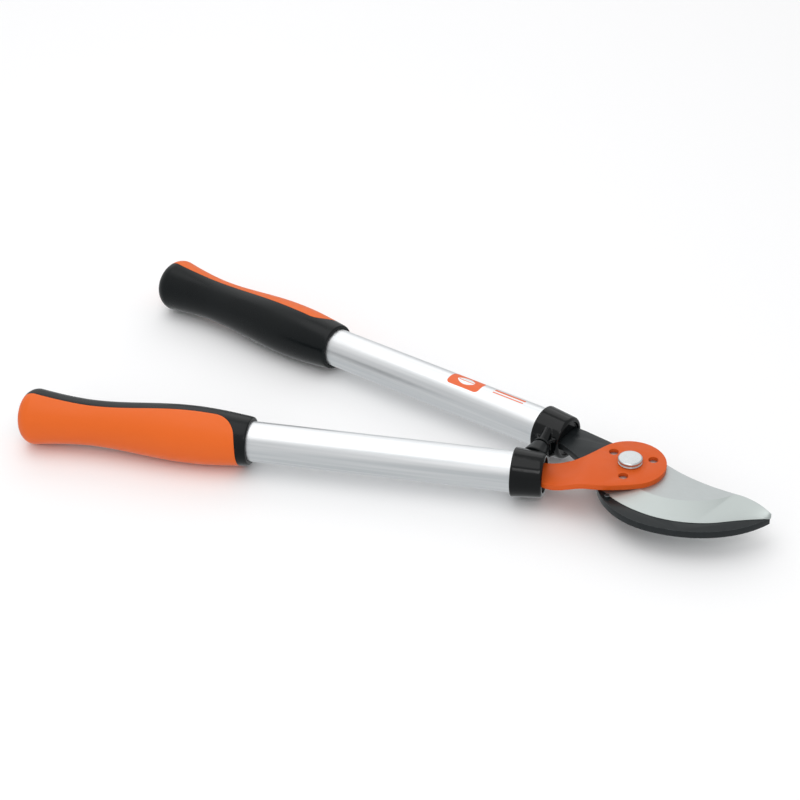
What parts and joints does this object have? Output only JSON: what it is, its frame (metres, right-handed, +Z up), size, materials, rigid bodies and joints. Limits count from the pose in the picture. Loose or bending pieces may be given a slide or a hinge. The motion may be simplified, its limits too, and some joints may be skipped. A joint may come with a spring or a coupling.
{
  "type": "bypass lopper",
  "caption": "Two-hand bypass lopper with a curved cutting blade and hook, aluminium tube handles and two-colour grips, opening about one pivot bolt.",
  "frame": {"origin": "on the pivot axis, at the flat lower end of the pivot bolt and nut", "axes": "+Z up the pivot axis towards the bolt's head, +X from the pivot towards the blade's tip along the line midway between the closed handles, +Y towards the handle that carries the hook"},
  "size_m": [0.408, 0.183, 0.0316],
  "materials": {
    "hook_steel": "dark satin coated forged steel",
    "zinc_steel": "zinc plated, satin",
    "bronze": "plain sintered bronze",
    "orange_paint": "orange powder coat, satin",
    "blade_steel": "ground satin, bright",
    "tube_aluminium": "satin anodised",
    "black_plastic": "glossy moulded",
    "black_rubber": "satin soft grip",
    "orange_plastic": "satin moulded"
  },
  "bodies": {
    "hook_side": {"hook_blade": "hook_steel", "hook_stop_pin": "hook_steel", "pivot_bolt": "zinc_steel", "pivot_washer": "zinc_steel", "pivot_nut": "zinc_steel", "tube_rear": "tube_aluminium", "tang_sleeve_rear": "black_plastic", "tang_pin_rear": "zinc_steel", "collar_rear": "black_plastic", "bumper_pad_rear": "black_rubber", "grip_body_rear": "black_rubber", "grip_panel_rear": "orange_plastic"},
    "blade_side": {"pivot_bushing": "bronze", "blade_arm": "orange_paint", "cutting_blade": "blade_steel", "blade_drive_pins": "blade_steel", "tube_front": "tube_aluminium", "tang_sleeve_front": "black_plastic", "tang_pin_front": "zinc_steel", "collar_front": "black_plastic", "bumper_cone_front": "black_rubber", "grip_body_front": "black_rubber", "grip_panel_front": "orange_plastic"}
  },
  "joints": [
    {"name": "blade_pivot", "type": "hinge", "parent": "hook_side", "child": "blade_side", "pos_m": [0, 0, 0], "axis": [0, 0, 1], "range_deg": [0, 47]}
  ]
}
